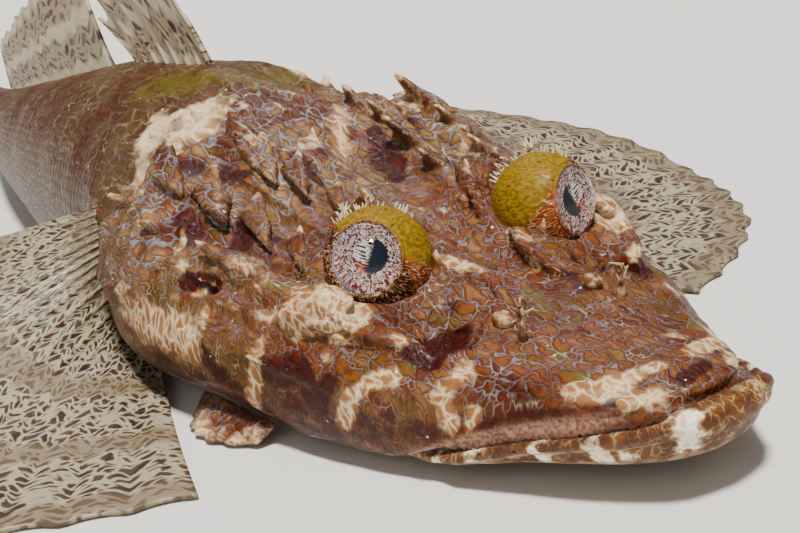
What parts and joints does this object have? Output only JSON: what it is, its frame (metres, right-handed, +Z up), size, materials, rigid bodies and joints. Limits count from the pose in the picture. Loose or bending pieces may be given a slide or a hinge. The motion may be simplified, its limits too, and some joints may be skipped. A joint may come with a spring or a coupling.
{
  "type": "crocodilefish",
  "caption": "Life-size crocodilefish lying on its belly, with a broad flat spiny head, raised eyes, jutting lower jaw and fanned fins.",
  "frame": {"origin": "under the middle of the bounding box, at the floor that the belly rests on", "axes": "+X towards the snout, +Y towards the fish's left, +Z up"},
  "size_m": [0.4612, 0.2554, 0.1024],
  "materials": {
    "skin": "mottled orange-brown skin, satin and slightly wet",
    "jaw_skin": "barred cream and brown skin, satin",
    "eye_skin": "mustard-yellow skin, satin, with a glossy window",
    "fin_skin": "pale cream fin skin with red-brown marks, satin"
  },
  "bodies": {
    "root": {"head": "skin", "torso": "skin", "tail_stalk": "skin", "lower_jaw": "jaw_skin", "gill_flap_right": "jaw_skin", "gill_flap_left": "jaw_skin", "eye_right": "eye_skin", "eye_left": "eye_skin", "first_dorsal_fin": "fin_skin", "second_dorsal_fin": "fin_skin", "anal_fin": "fin_skin", "tail_fin": "fin_skin", "pectoral_fin_right": "fin_skin", "pectoral_fin_left": "fin_skin", "pelvic_fin_right": "fin_skin", "pelvic_fin_left": "fin_skin"}
  },
  "joints": []
}
